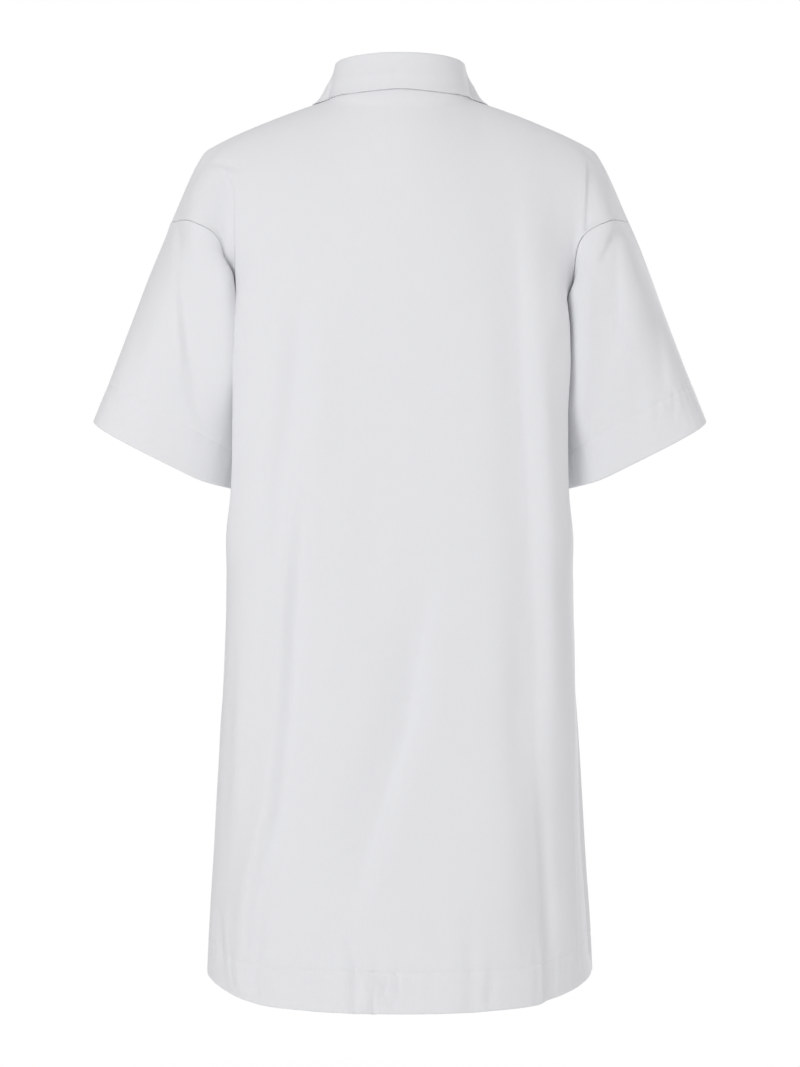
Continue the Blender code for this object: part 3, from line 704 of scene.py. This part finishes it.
def panel_grid(face):
    """The fine grid of a panel with its creases, before its wall is made, and how thick it is at each row."""
    end = 1.0 - SEAM_GAP / 600.0
    shares = edged(SLOT_SHARE, end, PANEL_HALF, 0.0, 0.006)[4:]
    where = np.linspace(0.0, 1.0, 400)
    weight = np.cumsum(1.0 + 1.4 * np.exp(-(((where - DENSE_SHARE) / 0.12) ** 2)))
    weight = (weight - weight[0]) / (weight[-1] - weight[0])
    body = shares < 0.985
    shares[body] = np.interp(shares[body], [SLOT_SHARE, 0.985], [0.0, 1.0])
    shares[body] = SLOT_SHARE + (0.985 - SLOT_SHARE) * np.interp(shares[body], weight, where)
    shares = np.concatenate([[0.0, SLOT_SHARE / 3, SLOT_SHARE * 2 / 3], shares])
    steps = edged(0.0, 1.0, PANEL_ROWS_YOKE, 0.008, 0.0)[:-5]
    half = list(softened(yoke_grid(face, shares, steps), steps))
    stitch_at = HEM + HEM_DEPTH
    heights = np.concatenate([
        np.linspace(UNDERARM, stitch_at + 3.0, PANEL_ROWS_SKIRT - 14),
        stitch_at + np.array([1.8, 0.9, 0.0, -0.9, -1.8]),
        np.linspace(stitch_at - 4.5, HEM + 3.0, 11),
        HEM + np.array([1.4, 0.8, 0.35, 0.0]),
    ])
    half += [ring(h, face, shares) for h in heights]
    half = np.array(half)
    level = np.concatenate([np.zeros(len(steps)), heights])
    drop = HEM_RISE * smooth(-level, -HEM - 150.0, -HEM)
    half[..., 2] += drop[:, None] * smooth(shares, 0.45, 0.95)[None, :]
    grid = np.concatenate([half[:, :0:-1] * (-1.0, 1.0, 1.0), half], axis=1)
    signed = np.concatenate([-shares[:0:-1], shares])
    if face == "back":
        grid, signed = grid[:, ::-1], signed[::-1]
    x, z = grid[..., 0], grid[..., 2]
    moved = crease_offset(x, z, face, CREASES) + solid_folds(x, z, face)
    dropped = step_offset(x, z, face, STEPS) * (1.0 - smooth(np.abs(signed), 0.975, 1.0)[None, :])
    u, v, _ = arcs(grid, False)
    moved += BROAD * noise(u, v, 62.0, 150.0) + 0.35 * noise(u, v, 17.0, 40.0)
    # quiet at the seams and the neck
    edge_x = 1.0 - smooth(np.abs(signed), 0.93, 1.0)[None, :]
    edge_z = np.concatenate([smooth(steps, 0.0, 0.18), np.ones(len(heights))])[:, None]
    moved = (moved * edge_x + dropped) * edge_z
    # the turned hem: a groove at its stitches, and puckers that die away from it
    from_stitch = level[:, None] - stitch_at
    ripple = noise(u, v * 0.0, 4.5, 1.0) + 0.6 * noise(u, v * 0.0, 9.0, 1.0)
    near = np.where(level[:, None] < UNDERARM, np.exp(-((from_stitch / 9.0) ** 2)), 0.0)
    groove = np.where(level[:, None] < UNDERARM, np.exp(-((from_stitch / 1.5) ** 2)), 0.0)
    below = (level[:, None] < stitch_at) & (level[:, None] < UNDERARM)
    moved += HEM_PUCKER * ripple * (near + 0.55 * below) - 0.45 * groove
    grid = grid + outward(grid) * moved[..., None]
    thickness = np.where((level < stitch_at) & (level < UNDERARM), CLOTH * HEM_LAYERS, CLOTH)
    return grid, thickness, signed, steps, level, stitch_at


def softened(half, steps):
    """The yoke's rows without the corner that runs down from the neck point."""
    whole = np.concatenate([half[:, :0:-1] * (-1.0, 1.0, 1.0), half], axis=1)
    soft = whole.copy()
    for r in range(len(whole)):
        run = np.concatenate([[0.0], np.cumsum(np.linalg.norm(np.diff(whole[r], axis=0), axis=1))])
        even_run = np.linspace(0.0, run[-1], 400)
        line = np.stack([np.interp(even_run, run, whole[r][:, k]) for k in range(3)], axis=1)
        width = SOFT_WIDTH * float(smooth(steps[r], 0.0, 0.12) * (1.0 - smooth(steps[r], 0.6, 1.0)))
        reach = int(np.ceil(3 * width / (even_run[1])))
        if reach < 1:
            continue
        weights = np.exp(-0.5 * (np.arange(-reach, reach + 1) * even_run[1] / width) ** 2)
        weights /= weights.sum()
        before = 2 * line[0] - line[reach:0:-1]
        after = 2 * line[-1] - line[-2 : -reach - 2 : -1]
        padded = np.concatenate([before, line, after])
        line = np.stack([np.convolve(padded[:, k], weights, "valid") for k in range(3)], axis=1)
        soft[r] = np.stack([np.interp(run, even_run, line[:, k]) for k in range(3)], axis=1)
    return soft[:, half.shape[1] - 1 :]


def make_panel(face):
    grid, thickness, signed, steps, level, stitch_at = panel_grid(face)
    open_cells = None
    if face == "front":
        open_cells = np.zeros((grid.shape[0] - 1, grid.shape[1] - 1), bool)
        middle = (signed[:-1] + signed[1:]) / 2
        rows = int(np.searchsorted(steps, SLOT_T))
        open_cells[:rows, np.abs(middle) < SLOT_SHARE] = True
    seam_side = 1.0 if face == "back" else -1.0
    obj = shell(face + "_panel", grid, thickness, open_cells=open_cells, seam_side=seam_side)
    normal = outward(grid)
    row = int(np.argmin(np.abs(level - stitch_at) + 1e6 * (level >= UNDERARM)))
    lines = [(grid[row, 2:-2], normal[row, 2:-2])]
    done = stitches(f"stitches_{face}", lines)
    return obj, done, grid


back, back_stitches, back_grid = make_panel("back")
front, front_stitches, front_grid = make_panel("front")

# ---------------------------------------------------------------- the sleeves

SLEEVE_ROWS = 84
SLEEVE_COLUMNS = 156


def sleeve_grid(side):
    knots = np.linspace(0.0, 1.0, SLEEVE_COLUMNS // 2 + 1)
    top = np.array([armhole("back", t) for t in knots] + [armhole("front", t) for t in knots[-2:0:-1]])
    angle = np.linspace(0.0, 2 * math.pi, len(top), endpoint=False)[:, None]
    out, forward = math.radians(ARM_OUT), math.radians(ARM_FORWARD)
    across = np.array([math.cos(out), 0.0, math.sin(out)]) * CUFF_HALF_WIDTH
    depth = np.array([0.0, math.cos(forward), -math.sin(forward)]) * CUFF_HALF_DEPTH
    power = 2.0 / CUFF_SQUARENESS
    round_x, round_y = (np.sign(f) * np.abs(f) ** power for f in (np.cos(angle), np.sin(angle)))
    cuff = np.array(CUFF_CENTRE) + round_x * across + round_y * depth
    cuff[:, 2:] += CUFF_RISE * smooth(-np.cos(angle), 0.2, 0.9)
    axis = np.array([math.sin(out), -math.sin(forward), -math.cos(out)])
    length = np.linalg.norm(cuff - top, axis=1, keepdims=True)
    under = np.sin(angle / 2) ** 1.2
    from_body = 70.0 + (SLEEVE_FULLNESS[int(side)] - 70.0) * smooth(np.sin(angle), 0.0, 0.7)
    spread = np.concatenate([from_body, np.sin(angle) * 150.0, np.full_like(angle, 25.0)], axis=1)
    leave = 0.5 * (cuff - top) + 0.5 * axis * length + under * spread
    arrive = (0.95 - 0.35 * under) * (cuff - top) + 0.4 * under * axis * length
    hem = 1.0 - SLEEVE_HEM / float(np.mean(length))
    steps = np.concatenate([
        SEAM_GAP / 400.0 + np.array([0.0, 0.0008, 0.002, 0.004, 0.007]),
        np.linspace(0.014, hem - 0.012, SLEEVE_ROWS - 24),
        hem + np.array([-0.008, -0.004, 0.0, 0.004, 0.008]),
        np.linspace(hem + 0.02, 0.985, 10),
        np.array([0.993, 0.996, 0.998, 1.0]),
    ])
    grid = np.array([hermite(top, cuff, leave, arrive, t) for t in steps])
    normal = outward(grid, True)
    x, z = grid[..., 0], grid[..., 2]
    creases = SLEEVE_CREASES[int(side)]
    to_back = smooth(normal[..., 1], -0.1, 0.35)
    to_front = smooth(-normal[..., 1], -0.1, 0.35)
    moved = crease_offset(x, z, "back", creases) * to_back + crease_offset(x, z, "front", creases) * to_front
    moved += step_offset(x, z, "back", SLEEVE_STEPS[int(side)]) * to_back
    u, v, _ = arcs(grid, True)
    around = u[:, -1:] + np.linalg.norm(grid[:, :1] - grid[:, -1:], axis=2)
    u = u / around * 480.0
    moved += 0.8 * noise(u, v, 80.0, 75.0, 480.0) + 0.3 * noise(u, v, 26.0, 30.0, 480.0)
    moved *= smooth(steps, 0.0, 0.08)[:, None]
    apart = (steps[:, None] - hem) * float(np.mean(length))
    ripple = noise(u, v * 0.0, 5.0, 1.0, 480.0)
    pucker = np.exp(-((apart / 8.0) ** 2)) + 0.5 * (apart > 0)
    moved += HEM_PUCKER * ripple * pucker - 0.4 * np.exp(-((apart / 1.4) ** 2))
    grid = grid + normal * moved[..., None]
    thickness = np.where(steps > hem, CLOTH * HEM_LAYERS, CLOTH)
    grid = (grid if side > 0 else grid[:, ::-1]) * (side, 1.0, 1.0)
    return grid, thickness, int(np.argmin(np.abs(steps - hem)))


for name, side in (("sleeve_left", 1.0), ("sleeve_right", -1.0)):
    grid, thickness, row = sleeve_grid(side)
    piece = shell(name, grid, thickness, closed=True)
    normal = outward(grid, True)
    loop = np.concatenate([grid[row], grid[row][:1]]), np.concatenate([normal[row], normal[row][:1]])
    sewn = stitches("stitches_" + name, [loop])

# ---------------------------------------------------------------- the collar

COLLAR_COLUMNS = 200


def settled(grid, clear, snug):
    """The grid with nothing nearer to the panels than clear, and its last rows laid at that height above.

    Clear has a height for each column, and snug how closely it is laid.
    """
    rows, panels = PANEL_ROWS_YOKE * 2 // 3, (back_grid, front_grid)
    on = np.concatenate([panel[:rows].reshape(-1, 3) for panel in panels])
    away = np.concatenate([outward(panel)[:rows].reshape(-1, 3) for panel in panels])
    down = np.linspace(0.0, 1.0, len(grid))
    rest, lay = smooth(down, 0.2, 0.5), smooth(down, 0.45, 0.9)
    moved = grid.copy()
    for r, row in enumerate(grid):
        for c, point in enumerate(row):
            near = int(np.argmin(((on - point) ** 2).sum(axis=1)))
            short = clear[c] - float(np.dot(point - on[near], away[near]))
            lift = max(short, 0.0) * rest[r] + min(short, 0.0) * lay[r] * snug[c]
            moved[r, c] = point + away[near] * lift
    return moved


def stand_grid():
    rise = np.concatenate([[0.0, 0.012, 0.03, 0.06], np.linspace(0.1, 0.9, 12), [0.94, 0.97, 0.99, 1.0]])
    columns = []
    for turn in edged(-LAP_TURN, LAP_TURN, COLLAR_COLUMNS, 0.004, 0.004):
        fold = fold_ring(turn)
        low = lapped(neck_ring(turn), turn)
        top = fold - radial(fold) * 3.0 - (0, 0, 2.8 + 9.0 * smooth(abs(turn), 0.985, LAP_TURN))
        low = low + (top - low) / np.linalg.norm(top - low) * 0.6
        columns.append(low + (top - low) * rise[:, None])
    return np.array(columns).swapaxes(0, 1)


def leaf_grid():
    down = np.concatenate([np.linspace(0.0, 0.96, 30), [0.972, 0.982, 0.99, 0.996, 1.0]])
    columns = []
    turns = edged(COLLAR_END_TURN, -COLLAR_END_TURN, COLLAR_COLUMNS, -0.006, -0.006)
    for turn in turns:
        fold, edge = fold_ring(turn), leaf_edge(turn)
        out, up = radial(fold), np.array([0.0, 0.0, 1.0])
        over = fold + out * 0.9 - up * 1.8
        start = fold - out * 3.0 - up * 0.6
        length = np.linalg.norm(edge - over)
        flare = 0.15 + 0.6 * smooth(abs(turn), 0.75, 0.95)
        fall = (out * flare - up) * length
        turned = np.linspace(0.0, 1.0, 9)[:-1]
        roll = [hermite(start, over, out * 1.5 + up * 5.5, fall / length * 7.0, t) for t in turned]
        drop = [hermite(over, edge, fall, (edge - over) * 1.1 + out * 6.0, t) for t in down]
        columns.append(np.array(roll + drop))
    grid = np.array(columns).swapaxes(0, 1)
    clear = LEAF_CLOTH + 0.5 - 0.3 * smooth(np.abs(turns), 0.14, 0.26)
    grid[9:] = settled(grid[9:], clear, 1.0 - 0.2 * smooth(np.abs(turns), 0.34, 0.5))
    soft = smooth(np.linspace(0, 1, grid.shape[0]), 0.3, 0.9)[:, None]
    u, v, _ = arcs(grid, False)
    uneven = 0.55 * soft * noise(u, v, 40.0, 30.0) + 0.12 * noise(u, v, 10.0, 14.0)
    return grid + outward(grid) * uneven[..., None]


stand = stand_grid()
stand_piece = shell("collar_stand", stand, COLLAR_CLOTH)

leaf = leaf_grid()
leaf_piece = shell("collar_leaf", leaf, LEAF_CLOTH)
leaf_normal = outward(leaf)
_, _, leaf_in = arcs(leaf, False)
half = leaf.shape[0] // 2
leaf_row = half + int(np.argmin(np.abs(leaf_in[half:, leaf.shape[1] // 2] - 5.0)))


def inset_column(grid, row, inset, from_start):
    run = np.concatenate([[0.0], np.cumsum(np.linalg.norm(np.diff(grid[row], axis=0), axis=1))])
    run = run if from_start else run[-1] - run
    return int(np.argmin(np.abs(run - inset)))


one_end, other_end = (
    [(r, inset_column(leaf, r, 5.0, from_start)) for r in range(10, leaf_row)] for from_start in (True, False)
)
first, last = inset_column(leaf, leaf_row, 5.0, True), inset_column(leaf, leaf_row, 5.0, False)
whole = one_end + [(leaf_row, c) for c in range(first, last + 1)] + other_end[::-1]
line = np.array([leaf[p] for p in whole]), np.array([leaf_normal[p] for p in whole])
leaf_sewn = stitches("stitches_leaf", [line])

# ---------------------------------------------------------------- the placket


def strip_grid(lift):
    shares = np.linspace(-PLACKET_SHARE, PLACKET_SHARE, 25)
    close = PLACKET_SHARE * np.array([1.0, 0.993, 0.982, 0.965, 0.94])
    shares = np.concatenate([-close, shares[2:-2], close[::-1]])
    steps = edged(PLACKET_FROM_T, PLACKET_TO_T, 110, 0.006, 0.006)
    grid = signed_yoke("front", shares, steps)
    u, v, _ = arcs(grid, False)
    grid = grid + outward(grid) * (lift + 0.12 * noise(u, v, 10.0, 14.0))[..., None]
    return grid


over = strip_grid(CLOTH + LAYER_GAP)
over_piece = shell("placket_over", over, CLOTH)
over_normal = outward(over)
rows, columns = over.shape[:2]
path = [(r, 7) for r in range(6, rows - 8)] + [(rows - 9, c) for c in range(7, columns - 7)]
path += [(r, columns - 8) for r in range(rows - 9, 5, -1)]
bar = [(rows - 20, c) for c in range(7, columns - 7)]
over_sewn = stitches(
    "stitches_placket",
    [(np.array([over[p] for p in line]), np.array([over_normal[p] for p in line])) for line in (path, bar)],
)
under = strip_grid(-CLOTH - LAYER_GAP)
under_piece = shell("placket_under", under, CLOTH)

# ---------------------------------------------------------------- the buttons

# A button's half section, from the middle of its top: radius and height.
BUTTON = (
    (0.9, 1.62), (1.2, 1.62), (2.0, 1.62), (2.3, 1.62), (3.4, 1.66), (3.8, 1.82), (4.15, 2.2), (4.5, 2.38),
    (4.9, 2.4), (5.25, 2.28), (5.5, 2.0), (5.6, 1.6), (5.6, 1.1), (5.45, 0.6), (5.1, 0.2), (4.6, 0.0),
)
BUTTON_SIDES = 48
button_plastic = plain("button_plastic", PEARL, 0.28, coat=0.4, speckle=0.04)


def button(name, centre, normal):
    turn = Vector((0, 0, 1)).rotation_difference(Vector(normal)).to_matrix()
    angle = np.linspace(0.0, 2 * math.pi, BUTTON_SIDES, endpoint=False)
    points, faces = [], []
    for r, h in BUTTON:
        points += [(r * math.cos(a), r * math.sin(a), h) for a in angle]
    hole = {(1, k + 12 * q) for q in range(4) for k in (3, 4, 5, 6)}
    hole |= {(0, k + 12 * q) for q in range(4) for k in (4, 5)}
    deep = len(points)
    for j in range(len(BUTTON) - 1):
        for k in range(BUTTON_SIDES):
            e = (k + 1) % BUTTON_SIDES
            if (j, k) not in hole:
                upper, lower = j * BUTTON_SIDES, (j + 1) * BUTTON_SIDES
                faces.append((upper + k, lower + k, lower + e, upper + e))
    faces.append(tuple(range(BUTTON_SIDES)))
    points += [(x, y, 0.3) for x, y, _ in points[: 3 * BUTTON_SIDES]]
    edges = {e for face in faces for e in zip(face, face[1:] + face[:1])}
    for j, k in sorted(hole):
        e = (k + 1) % BUTTON_SIDES
        upper, lower = j * BUTTON_SIDES, (j + 1) * BUTTON_SIDES
        quad = (upper + k, lower + k, lower + e, upper + e)
        for a, b in zip(quad, quad[1:] + quad[:1]):
            if (b, a) in edges:
                faces.append((a, b, b + deep, a + deep))
        faces.append(tuple(i + deep for i in quad))
    last = (len(BUTTON) - 1) * BUTTON_SIDES
    faces.append(tuple(last + k for k in range(BUTTON_SIDES))[::-1])
    points = np.array([turn @ Vector(p) for p in points]) + centre
    obj = add_mesh(name, points, faces, None, button_plastic)
    obj.data.set_sharp_from_angle(angle=math.radians(40))
    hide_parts(name)
    made, sides = [], []
    for y in (-1.15, 1.15):
        for shift in (-0.22, 0.0, 0.22):
            bow = [(2.3 * t - 1.15, 1.45 + 0.62 * math.sin(math.pi * t)) for t in np.linspace(0, 1, 9)]
            line = np.array([(x, y + shift, z) for x, z in bow])
            for i, p in enumerate(line):
                for s in range(6):
                    a = 2 * math.pi * s / 6
                    made.append(tuple(p + 0.15 * np.array([0.0, math.cos(a), math.sin(a)])))
                if i:
                    base = len(made) - 12
                    ends = [(base + s, base + (s + 1) % 6) for s in range(6)]
                    sides += [(a, b, b + 6, a + 6) for a, b in ends]
    made = np.array([turn @ Vector(p) for p in made]) + centre
    return obj, add_mesh(name + "_thread", made, sides, None, thread)


over_lift = CLOTH + LAYER_GAP
for i, t in enumerate(BUTTON_STEPS):
    low, high = above_panel("front", 0.0, t, over_lift), above_panel("front", 0.0, t, over_lift + LAYER_GAP)
    button(f"button_{i + 2}", high, (high - low) / np.linalg.norm(high - low))
middle_row = stand.shape[0] // 2
stand_turns = edged(-LAP_TURN, LAP_TURN, COLLAR_COLUMNS, 0.004, 0.004)
at = int(np.argmin(np.abs(stand_turns + 1.0)))
normal = outward(stand)[middle_row][at] * (0, 1, 1)
normal /= np.linalg.norm(normal)
button("button_1", stand[middle_row][at] * (0, 1, 1) + normal * LAYER_GAP, normal)

# ---------------------------------------------------------------- floor, light and camera

FLOOR_Z = -1.35
FLOOR_HALF = 6.0


def white_floor():
    mesh = bpy.data.meshes.new("floor")
    h = FLOOR_HALF
    corners = [(-h, -h, FLOOR_Z), (h, -h, FLOOR_Z), (h, h, FLOOR_Z), (-h, h, FLOOR_Z)]
    mesh.from_pydata(corners, [], [(0, 1, 2, 3)])
    floor = bpy.data.objects.new("floor", mesh)
    bpy.context.scene.collection.objects.link(floor)
    m = bpy.data.materials.new("floor")
    m.use_nodes = True
    nodes, links = m.node_tree.nodes, m.node_tree.links
    shader = nodes["Principled BSDF"]
    shader.inputs["Base Color"].default_value = (0.9, 0.9, 0.9, 1.0)
    shader.inputs["Roughness"].default_value = 0.9
    place = nodes.new("ShaderNodeTexCoord")
    away = nodes.new("ShaderNodeVectorMath")
    away.operation = "LENGTH"
    links.new(place.outputs["Object"], away.inputs[0])
    fade = nodes.new("ShaderNodeMapRange")
    fade.interpolation_type = "SMOOTHSTEP"
    fade.inputs["From Min"].default_value = 1.5
    fade.inputs["From Max"].default_value = 2.2
    links.new(away.outputs["Value"], fade.inputs["Value"])
    path = nodes.new("ShaderNodeLightPath")
    only = nodes.new("ShaderNodeMath")
    only.operation = "MULTIPLY"
    links.new(fade.outputs["Result"], only.inputs[0])
    links.new(path.outputs["Is Camera Ray"], only.inputs[1])
    bright = nodes.new("ShaderNodeEmission")
    bright.inputs["Color"].default_value = (1.0, 1.0, 1.0, 1.0)
    mix = nodes.new("ShaderNodeMixShader")
    links.new(only.outputs[0], mix.inputs["Fac"])
    links.new(shader.outputs["BSDF"], mix.inputs[1])
    links.new(bright.outputs["Emission"], mix.inputs[2])
    links.new(mix.outputs["Shader"], nodes["Material Output"].inputs["Surface"])
    floor.data.materials.append(m)


def studio():
    scene = bpy.context.scene
    world = bpy.data.worlds.new("studio")
    scene.world = world
    world.use_nodes = True
    nodes, links = world.node_tree.nodes, world.node_tree.links
    light = nodes["Background"]
    light.inputs["Color"].default_value = (0.995, 0.98, 0.995, 1.0)
    light.inputs["Strength"].default_value = 0.54
    seen = nodes.new("ShaderNodeBackground")
    seen.inputs["Color"].default_value = (1.0, 1.0, 1.0, 1.0)
    path = nodes.new("ShaderNodeLightPath")
    mix = nodes.new("ShaderNodeMixShader")
    links.new(path.outputs["Is Camera Ray"], mix.inputs["Fac"])
    links.new(light.outputs[0], mix.inputs[1])
    links.new(seen.outputs[0], mix.inputs[2])
    links.new(mix.outputs[0], nodes["World Output"].inputs["Surface"])
    for name, place, size, power in (
        ("key", (1.5, 2.6, 0.3), 1.4, 33.0),
        ("fill", (-2.5, 0.9, 0.1), 1.8, 11.0),
        ("top", (0.3, 0.6, 1.8), 1.6, 3.0),
        ("front", (-1.2, -2.6, 0.3), 1.4, 32.0),
    ):
        lamp = bpy.data.lights.new(name, "AREA")
        lamp.shape = "DISK"
        lamp.size = size
        lamp.energy = power
        obj = bpy.data.objects.new(name, lamp)
        scene.collection.objects.link(obj)
        obj.location = place
        toward = Vector((0.0, 0.0, -0.43)) - Vector(place)
        obj.rotation_euler = toward.to_track_quat("-Z", "Y").to_euler()
        obj.visible_camera = False


def camera():
    scene = bpy.context.scene
    data = bpy.data.cameras.new("camera")
    data.sensor_width = 36.0
    data.lens = 74.2
    obj = bpy.data.objects.new("camera", data)
    obj.location = (0.0, 2.2, -0.4285)
    obj.rotation_euler = (math.radians(90), 0.0, math.radians(180))
    scene.collection.objects.link(obj)
    scene.camera = obj


white_floor()
studio()
camera()
bpy.context.scene.view_settings.view_transform = "Standard"
